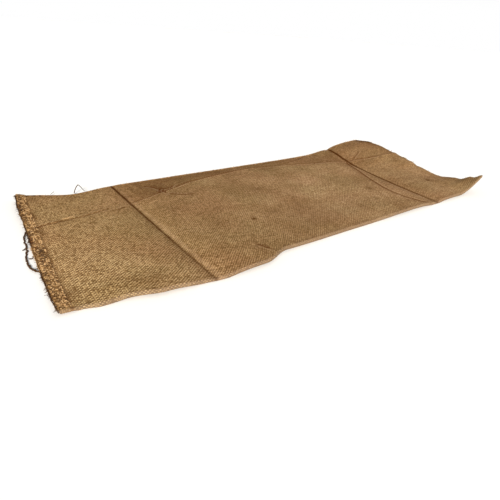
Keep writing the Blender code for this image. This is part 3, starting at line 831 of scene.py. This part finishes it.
# Loose yarns and fibres: points in mm from the corner, z above the floor
looseYarns = [
    # the loop along the hem and the bits beside it are toned darker: partly the yarn's own colour, partly
    # painted shade
    {"points": [(-3, 225, 3.4), (-6, 220, 2.4), (-11, 208, 1.3), (-12, 191, 1.0), (-12, 175, 1.0),
                (-14, 161, 1.0), (-17, 146, 1.0), (-17, 131, 1.0), (-15, 119, 1.2), (-12, 110, 1.8),
                (-5, 103, 3.0)], "ply": 0.74, "tone": -0.35},
    {"points": [(-12, 177, 1.0), (-15, 173, 0.9), (-17, 170, 0.8)], "ply": 0.32, "tone": -0.20},
    {"points": [(-14, 145, 1.0), (-11, 144, 1.0), (-9, 146, 0.8)], "ply": 0.30, "tone": -0.15},
    {"points": [(-17, 127, 1.0), (-14, 130, 0.8)], "ply": 0.22, "tone": -0.15},
]
looseFibres = [
    {"points": [(86, 342, 2.0), (89, 342, 9.5), (93, 342, 15.3), (95, 342, 16.4), (98, 342, 12.8),
                (101, 342, 7.6), (104, 342, 3.0)], "radius": 0.80, "tone": -0.7},
    {"points": [(49, 351, 3.0), (53, 352, 5.0), (56, 352, 7.0)], "radius": 0.45, "tone": -0.2},
    {"points": [(790, 354, 22.0), (795, 357, 25.0), (802, 359, 26.0)], "radius": 0.26, "tone": 0.3},
    {"points": [(700, 354, 6.0), (704, 358, 8.0), (709, 360, 7.5)], "radius": 0.24, "tone": 0.4},
]
# Thick soft pieces of yarn that lie on the cloth: mm along it, mm from the fold
slubs = [
    {"points": [(45, 238.5), (50, 240.2), (56, 241.8), (62, 245.5), (66, 247)], "radius": 0.70,
     "tone": 0.85},
    {"points": [(30, 231.5), (35, 231.8), (40, 232.2)], "radius": 0.55, "tone": 0.6},
]
loose = {"turn": 6.5 * mm, "kinkLength": 5 * mm, "kinkReach": 1.5 * mm, "seed": 61}
# Fluff along the yarns, which makes them look lumpy from further away
fluff = {"shortest": 0.8, "longest": 2.4, "pieces": 3, "curl": 0.9, "floor": 0.1 * mm,
         "radii": [0.22 * mm, 0.2 * mm, 0.15 * mm, 0.08 * mm]}


def kinked(point):
    # old yarn keeps its kinks
    shift = [noise.noise(point / loose["kinkLength"] + Vector((4.0, 9.0 * axis, 2.0)))
             for axis in range(3)]
    return point + Vector(shift) * loose["kinkReach"]


def makeLooseYarns():
    strands, rng = newStrands(loose["seed"])
    for yarn in looseYarns:
        points = [corner + Vector(point) * mm for point in yarn["points"]]
        path = [kinked(point) for point in smoothPath(points, 8)]
        addTwine(strands, path, yarn["ply"] * mm, loose["turn"], yarn["tone"], 6)
        for point in 2 * path[2:-2]:
            heading = Vector([rng.gauss(0.0, 1.0) for axis in range(3)]).normalized()
            start = point + heading * yarn["ply"] * 0.5 * mm
            length = rng.uniform(fluff["shortest"], fluff["longest"]) * mm
            addTube(strands, curledPath(rng, start, heading, length, fluff), fluff["radii"], 4,
                    yarn["tone"])
    for fibre in looseFibres:
        path = smoothPath([corner + Vector(point) * mm for point in fibre["points"]], 6)
        radii = [fibre["radius"] * mm * (1.0 - 0.4 * ring / len(path)) for ring in range(len(path))]
        addTube(strands, path, radii, 5, fibre["tone"])
    for slub in slubs:
        points = [onTop(x * mm, y * mm, 0.4 * slub["radius"] * mm) for x, y in slub["points"]]
        path = smoothPath(points, 5)
        middle = 0.5 * (len(path) - 1)
        radii = [slub["radius"] * mm * (1.1 - (abs(ring - middle) / middle) ** 2)
                 for ring in range(len(path))]
        addTube(strands, path, radii, 6, slub["tone"])
    return strandObject("loose_yarns", strands)


# Fine fibres that stand off the cloth, more of them along hem, seam and fold
fibres = {"overCloth": 1300, "onHem": 1700, "onEdges": 700, "shortest": 1.5 * mm,
          "longest": 6.0 * mm, "radius": 0.075 * mm, "hemRadius": 0.15 * mm, "hemMiddle": 7 * mm,
          "hemSpread": 5 * mm, "pieces": 4, "curl": 0.6, "floor": 0.1 * mm, "seed": 51}


def makeFibres():
    look = fibres
    strands, rng = newStrands(look["seed"])
    for number in range(look["overCloth"] + look["onHem"] + look["onEdges"]):
        x, y = rng.uniform(2 * mm, sack["length"] - 2 * mm), rng.uniform(1 * mm, sack["width"] - 1 * mm)
        lean = rng.uniform(0.05, 0.5)
        radius = look["radius"]
        if number < look["onHem"]:
            x = abs(rng.gauss(look["hemMiddle"], look["hemSpread"]))
            lean = rng.uniform(0.05, 0.7)
            radius = look["hemRadius"] * rng.uniform(0.5, 1.2)
        elif number < look["onHem"] + look["onEdges"]:
            y = rng.choice((rng.uniform(0.3, 2.5) * mm, sack["width"] - rng.uniform(0.3, 4.0) * mm))
            lean = rng.uniform(0.1, 0.8)
        turn = rng.uniform(0.0, 2.0 * math.pi)
        heading = Vector((math.cos(turn), math.sin(turn), lean)).normalized()
        length = mix(look["shortest"], look["longest"], rng.random() ** 2)
        root = onTop(x, y, -look["floor"])
        path = curledPath(rng, root, heading, length, look)
        radii = [radius * (1.0 - 0.18 * ring) for ring in range(look["pieces"] + 1)]
        addTube(strands, path, radii, 3, rng.uniform(0.2, 1.0))
    return strandObject("loose_fibres", strands)


print("scene: materials")


def linear(hexColour):
    # sRGB hex to the linear colour that the shaders take
    channels = [int(hexColour[index:index + 2], 16) / 255 for index in (0, 2, 4)]
    return [c / 12.92 if c <= 0.04045 else ((c + 0.055) / 1.055) ** 2.4 for c in channels] + [1.0]


def setNode(node, inputs=(), **settings):
    # inputs are in order, or by number or name; settings are the node's own values and also inputs.
    # An input is given its value, the node that feeds it, or (node, output) for a later output.
    if not isinstance(inputs, dict):
        inputs = dict(enumerate(inputs))
    for key, value in {**settings, **inputs}.items():
        origin, output = value if isinstance(value, tuple) and len(value) == 2 else (value, 0)
        if isinstance(origin, bpy.types.Node):
            node.id_data.links.new(origin.outputs[output], node.inputs[key])
        elif isinstance(key, str) and hasattr(node, key):
            setattr(node, key, value)
        else:
            node.inputs[key].default_value = value


def addNode(tree, kind, inputs=(), **settings):
    made = tree.nodes.new("ShaderNode" + kind)
    setNode(made, inputs, **settings)
    return made


def newMaterial(name, surface):
    # also gives what adds nodes to the material, and its shader
    material = bpy.data.materials.new(name)
    material.use_nodes = True
    shader = material.node_tree.nodes["Principled BSDF"]
    setNode(shader, surface)
    return material, partial(addNode, material.node_tree), shader


def setStops(ramp, stops):
    # colours of a ramp: (position, sRGB hex) from one end to the other
    elements = ramp.color_ramp.elements
    while len(elements) < len(stops):
        elements.new(1.0)
    for element, (position, hexColour) in zip(elements, stops):
        element.position = position
        element.color = linear(hexColour)


# Jute hessian, plain woven from coarse single yarns: warp and weft pass over each other by turns,
# and painted shade darkens the little gaps between them. Jute fibre has an IOR near 1.53 and no shine to
# speak of.
# The scale of a noise is how many of its flecks go on a metre: 11 is one every 91 mm.
hessian = {
    "surface": {"Roughness": 0.92, "IOR": 1.53, "Specular IOR Level": 0.05, "Sheen Weight": 0.0},
    "pitch": 2.2 * mm, "wander": 1.8 * mm, "wanderScale": 16.0,
    "yarn": [(0.69, "644624"), (0.86, "8c693f"), (0.98, "c6a06e")],
    # a yarn's section is its sine to this power; its height on the way over and under
    "roundness": 0.55, "middle": 0.55, "swing": 0.45,
    # the gap tint is painted shade between the yarns
    "gap": "2e1d0d", "gapShadeShare": 0.95, "gapShadeHeights": (0.20, 0.70),  # full below, none above
    # the last tint on the next line is a painted highlight for ridges
    "even": "836445", "stainAndShade": "57340f", "furrow": "4c2a08", "crease": "5a310f", "worn": "cba780",
    "rust": "673a14", "hem": "9d7440", "edge": "84673f", "fold": "84715e",
    # the fibre's own colour drifts between olive and rosy
    "olive": (0.972, 1.0, 0.97), "rosy": (1.03, 0.985, 1.0), "castScale": 8.0,
    "castRange": (0.38, 0.62),
    # tone of a yarn: where it starts, and the share of the yarn's own tone, of the warp where it is
    # on top, of each crossing (a slub, a pale or a dirty stretch) and of its fibres
    "toneStart": 0.205, "ownTone": 0.15, "warpTone": 0.24, "crossingTone": 0.30, "fibreTone": 0.66,
    "toneRun": 0.62, "fibreScale": 1100.0,
    # towards the mouth the cloth is cleaner: its yarns stand out less and its patches more
    "cleanFrom": 60 * mm, "cleanTo": 400 * mm, "cleanShare": 0.50, "patchPower": 1.8,
    # patches paler and darker: scale, detail, roughness, share
    "patches": [(11.0, 4.0, 0.72, 0.14), (130.0, 3.0, 0.6, 0.09), (350.0, 1.0, 0.5, 0.10)],
    "darkGreen": 1.25, "darkBlue": 1.6,  # where it is darker it is browner too
    # golden hem band, its outer edge darker with dirt and painted shade, and the fold greyer: which edge
    # they follow, full up to this distance from it, gone at this one, strength, colour
    "bands": [("hem", 9 * mm, 17 * mm, 0.50, "hem"), ("hem", 0.0, 4.0 * mm, 0.60, "edge"),
              ("fold", 1.5 * mm, 6.0 * mm, 0.55, "fold")],
    # dirt, painted shade and painted highlights along lines: vertex layers for the distance and the
    # share, half width and centre in mm, strength, colour
    # pressed dirt with painted shade in each furrow, and painted shade beside furrow 1
    "lines": [("furrowOff", "furrowDark", 2.4, 0.0, 1.15, "furrow"),
              ("furrowOff", "furrowShade", 5.0, -5.5, 0.30, "furrow"),
              # a painted highlight on the ridge beside each furrow
              ("ridgeOff", "furrowPale", 3.2, 0.0, 0.42, "worn"),
              ("hemOff", "hemDark", 2.2, 0.0, 0.65, "rust"),
              # painted shade along the valleys of the fine creases, then a painted highlight on their
              # ridges
              ("creaseOff", "creaseDark", 1.6, 1.4, 1.10, "crease"),
              ("creaseOff", "creaseDark", 4.0, 2.5, 0.40, "crease"),
              ("creaseOff", "creaseDark", 1.5, -2.2, 0.28, "worn")],
    "bump": 0.8 * mm, "bumpStrength": 0.9, "fibreBump": 0.35,
}


def hessianMaterial():
    look = hessian
    material, add, shader = newMaterial("jute hessian, plain woven", look["surface"])
    place = add("UVMap", uv_map="clothPlace")
    drift = add("TexNoise", Scale=look["wanderScale"], Detail=1.0, Vector=place)
    centred = add("VectorMath", [(drift, "Color"), (0.5, 0.5, 0.5)], operation="SUBTRACT")
    shift = add("VectorMath", [centred], operation="SCALE", Scale=2 * look["wander"])
    wandering = add("VectorMath", [place, shift], operation="ADD")
    threads = add("VectorMath", [wandering], operation="SCALE", Scale=1.0 / look["pitch"])
    split = add("SeparateXYZ", [threads])
    waves, profiles, signs, numbers = {}, {}, {}, {}
    for axis in ("X", "Y"):
        turned = add("Math", [(split, axis), math.pi], operation="MULTIPLY")
        waves[axis] = add("Math", [turned], operation="SINE")
        size = add("Math", [waves[axis]], operation="ABSOLUTE")
        profiles[axis] = add("Math", [size, look["roundness"]], operation="POWER")
        signs[axis] = add("Math", [waves[axis]], operation="SIGN")
        numbers[axis] = add("Math", [(split, axis)], operation="FLOOR")
    heights, tones = {}, {}
    for along, across, swing, start in (("X", "Y", look["swing"], 3.0), ("Y", "X", -look["swing"], 11.0)):
        # a yarn is round across its run, and goes over and under along it
        beat = add("Math", [waves[along], signs[across]], operation="MULTIPLY")
        lift = add("Math", [beat, swing, look["middle"]], operation="MULTIPLY_ADD")
        heights[along] = add("Math", [profiles[across], lift], operation="MULTIPLY")
        # it has its own tone, which changes slowly along it
        run = add("Math", [(split, along), look["toneRun"]], operation="MULTIPLY")
        apart = add("Math", [numbers[across], 3.71], operation="MULTIPLY")
        own = add("CombineXYZ", [run, apart, start])
        tones[along] = add("TexNoise", Scale=1.0, Detail=2.0, Roughness=0.7, Vector=own)
    top = add("Math", [heights["X"], heights["Y"]], operation="MAXIMUM")
    warpOver = add("Math", [heights["X"], heights["Y"]], operation="GREATER_THAN")
    own = add("Mix", {0: warpOver, 2: tones["Y"], 3: tones["X"]}, data_type="FLOAT")
    fibre = add("TexNoise", Scale=look["fibreScale"], Detail=2.0, Roughness=0.65, Vector=wandering)
    cell = add("CombineXYZ", [numbers["X"], numbers["Y"]])
    chance = add("TexWhiteNoise", noise_dimensions="2D", Vector=cell)
    tone = look["toneStart"]
    for source, share in (((own, 0), "ownTone"), (warpOver, "warpTone"),
                          ((chance, "Value"), "crossingTone"), (fibre, "fibreTone")):
        tone = add("Math", [source, look[share], tone], operation="MULTIPLY_ADD")
    ramp = add("ValToRGB", [tone])
    setStops(ramp, look["yarn"])
    # painted shade in the gaps between the yarns, where the yarns lie low
    low, high = look["gapShadeHeights"]
    gapShade = add("MapRange", [top, low, high, look["gapShadeShare"], 0.0], interpolation_type="SMOOTHSTEP")
    woven = add("Mix", {0: gapShade, 6: ramp, 7: linear(look["gap"])}, data_type="RGBA")
    flat = add("SeparateXYZ", [place])
    start, end = look["cleanFrom"], look["cleanTo"]
    cleaner = add("MapRange", [(flat, "X"), start, end, 0.0, look["cleanShare"]])
    woven = add("Mix", {0: cleaner, 6: (woven, 2), 7: linear(look["even"])}, data_type="RGBA")

    clouds, light = [], None
    for scale, detail, roughness, share in look["patches"]:
        clouds.append(add("TexNoise", Scale=scale, Detail=detail, Roughness=roughness, Vector=place))
        paler = add("MapRange", [clouds[-1], 0.3, 0.7, 1.0 - share, 1.0 + share])
        light = add("Math", [light, paler], operation="MULTIPLY") if light else paler
    power = add("MapRange", [(flat, "X"), start, end, 1.0, look["patchPower"]])
    light = add("Math", [light, power], operation="POWER")
    # the painted light and shade and the patches, carried on the cloth's points
    level = add("Attribute", attribute_name="lightness")
    light = add("Math", [light, (level, "Fac")], operation="MULTIPLY")
    green = add("Math", [light, look["darkGreen"]], operation="POWER")
    blue = add("Math", [light, look["darkBlue"]], operation="POWER")
    shade = add("CombineXYZ", [light, green, blue])
    patched = add("VectorMath", [(woven, 2), shade], operation="MULTIPLY")
    castNoise = add("TexNoise", Scale=look["castScale"], Detail=3.0, Vector=place)
    low, high = look["castRange"]
    castShare = add("MapRange", [castNoise, low, high])
    cast = add("Mix", {0: castShare, 4: look["olive"], 5: look["rosy"]}, data_type="VECTOR")
    colour = (add("VectorMath", [patched, (cast, 1)], operation="MULTIPLY"), 0)

    inside = {"hem": (flat, "X"), "fold": add("Math", [(flat, "Y")], operation="ABSOLUTE")}
    for edge, full, gone, strength, tint in look["bands"]:
        band = add("MapRange", [inside[edge], full, gone, strength, 0.0],
                   interpolation_type="SMOOTHSTEP")
        colour = (add("Mix", {0: band, 6: colour, 7: linear(look[tint])}, data_type="RGBA"), 2)
    # stains, and painted shade at the sack's outer edges
    stainAndShade = add("Attribute", attribute_name="stainAndShade")
    broken = add("MapRange", [clouds[1], 0.25, 0.75, 0.45, 1.25])
    share = add("Math", [(stainAndShade, "Fac"), broken], operation="MULTIPLY", use_clamp=True)
    colour = (add("Mix", {0: share, 6: colour, 7: linear(look["stainAndShade"])}, data_type="RGBA"), 2)
    for offName, shareName, halfWidth, centre, strength, tint in look["lines"]:
        off = add("Attribute", attribute_name=offName)
        fade = add("Attribute", attribute_name=shareName)
        moved = add("Math", [(off, "Fac"), centre], operation="SUBTRACT")
        scaled = add("Math", [moved, halfWidth], operation="DIVIDE")
        bell = add("Math", [scaled, scaled], operation="MULTIPLY")
        for operation, amount in (("MULTIPLY", -1.0), ("EXPONENT", 0.0), ("MULTIPLY", strength),
                                  ("MULTIPLY", broken), ("MULTIPLY", (fade, "Fac"))):
            bell = add("Math", [bell, amount], operation=operation)
        share = add("Clamp", [bell])
        colour = (add("Mix", {0: share, 6: colour, 7: linear(look[tint])}, data_type="RGBA"), 2)

    relief = add("Math", [fibre, look["fibreBump"], top], operation="MULTIPLY_ADD")
    bump = add("Bump", Strength=look["bumpStrength"], Distance=look["bump"], Height=relief)
    setNode(shader, {"Base Color": colour, "Normal": bump})
    return material


# Jute yarn and twine, twisted: long fibres lie along it, golden where fresh and brown where old.
# Each strand carries its own tone.
juteYarn = {
    "surface": {"Roughness": 0.85, "IOR": 1.53, "Specular IOR Level": 0.12, "Sheen Weight": 0.04},
    "tones": [(0.0, "4a3016"), (0.5, "987142"), (1.0, "d3ad7c")],
    "fibre": 0.4 * mm, "bump": 0.12 * mm, "bumpStrength": 0.8,
}


def yarnMaterial():
    look = juteYarn
    material, add, shader = newMaterial("twisted jute yarn", look["surface"])
    place = add("TexCoord")
    fibre = add("TexNoise", Scale=0.5 / look["fibre"], Detail=3.0, Roughness=0.6,
                Vector=(place, "Object"))
    own = add("Attribute", attribute_name="tone")
    centred = add("Math", [fibre, 0.5], operation="SUBTRACT")
    tone = add("Math", [(own, "Fac"), centred], operation="ADD")
    ramp = add("ValToRGB", [tone])
    setStops(ramp, look["tones"])
    bump = add("Bump", Strength=look["bumpStrength"], Distance=look["bump"], Height=fibre)
    setNode(shader, {"Base Color": ramp, "Normal": bump})
    return material


# Matt white paper sweep under the sack
floorLook = {"colour": "f6f6f5", "grain": 400.0, "size": 30.0,
             "surface": {"Roughness": 0.95, "Specular IOR Level": 0.1}}


def floorMaterial():
    material, add, shader = newMaterial("matt white paper", floorLook["surface"])
    place = add("TexCoord")
    grain = add("TexNoise", Scale=floorLook["grain"], Detail=2.0, Vector=(place, "Object"))
    shade = add("MapRange", {0: grain, 3: 0.985, 4: 1.0})
    tinted = add("VectorMath", [linear(floorLook["colour"])[:3]], operation="SCALE", Scale=shade)
    setNode(shader, {"Base Color": tinted})
    return material


print("scene: pieces")
hessianFinish = hessianMaterial()
yarnFinish = yarnMaterial()

cloth = makeCloth()
cloth.data.materials.append(hessianFinish)
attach(cloth, "root")
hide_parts("sack_body")

strandPieces = [makeHemStitches(), makeSeamStitches(), makeBottomFringe(), makeMouthFringe(),
                makeLooseYarns(), makeFibres()]
for piece in strandPieces:
    piece.data.materials.append(yarnFinish)
    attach(piece, "root")
    if piece.name == "bottom_fringe":
        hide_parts("bottom_fray")

print("scene: floor, light, camera")
floorMesh = bmesh.new()
bmesh.ops.create_grid(floorMesh, x_segments=2, y_segments=2, size=floorLook["size"])
floor = meshObject("floor", floorMesh)
floor.data.materials.append(floorMaterial())

# direction is where the light comes from, in the frame's axes; softness is the sun's angle
lights = [
    {"name": "key", "direction": (-0.45, -0.72, 0.50), "strength": 4.4, "softness": 14.0,
     "colour": "fffaf2"},
    {"name": "fill", "direction": (0.7, 0.1, 0.7), "strength": 0.35, "softness": 60.0,
     "colour": "f4f7ff"},
]
for light in lights:
    data = bpy.data.lights.new(light["name"], "SUN")
    data.energy = light["strength"]
    data.angle = math.radians(light["softness"])
    data.color = linear(light["colour"])[:3]
    lamp = newObject(light["name"], data)
    lamp.rotation_euler = Vector(light["direction"]).to_track_quat("Z", "Y").to_euler()

# Pale surroundings: white at the horizon, where they meet the floor, and dimmer overhead
sky = {"horizon": 1.0, "overhead": 0.40, "from": 0.06, "to": 0.30}
world = bpy.data.worlds.new("paleStudio")
world.use_nodes = True
bpy.context.scene.world = world
add = partial(addNode, world.node_tree)
up = add("SeparateXYZ", [(add("TexCoord"), "Generated")])
strength = add("MapRange", [(up, "Z"), sky["from"], sky["to"], sky["horizon"], sky["overhead"]],
               interpolation_type="SMOOTHSTEP")
setNode(world.node_tree.nodes["Background"], {"Strength": strength, "Color": (1.0, 1.0, 1.0, 1.0)})

# Handheld from the near left corner, metres from it; turned, tipped down and rolled in radians
view = {"turn": -0.63947, "tip": 0.52766, "roll": -0.07427, "lens": 27.072, "sensor": 36.0,
        "fromCorner": (-0.02649, -0.34804, 0.27363)}
cameraData = bpy.data.cameras.new("camera")
cameraData.lens = view["lens"]
cameraData.sensor_width = view["sensor"]
cameraData.clip_start = 0.01
camera = newObject("camera", cameraData)
turned = Matrix.Rotation(view["turn"], 4, "Z") @ Matrix.Rotation(-view["tip"], 4, "X")
turned = turned @ Matrix.Rotation(view["roll"], 4, "Y") @ Matrix.Rotation(math.pi / 2, 4, "X")
camera.matrix_world = Matrix.Translation(corner + Vector(view["fromCorner"])) @ turned
bpy.context.scene.camera = camera
bpy.context.scene.view_settings.view_transform = "Standard"

print("scene: done")
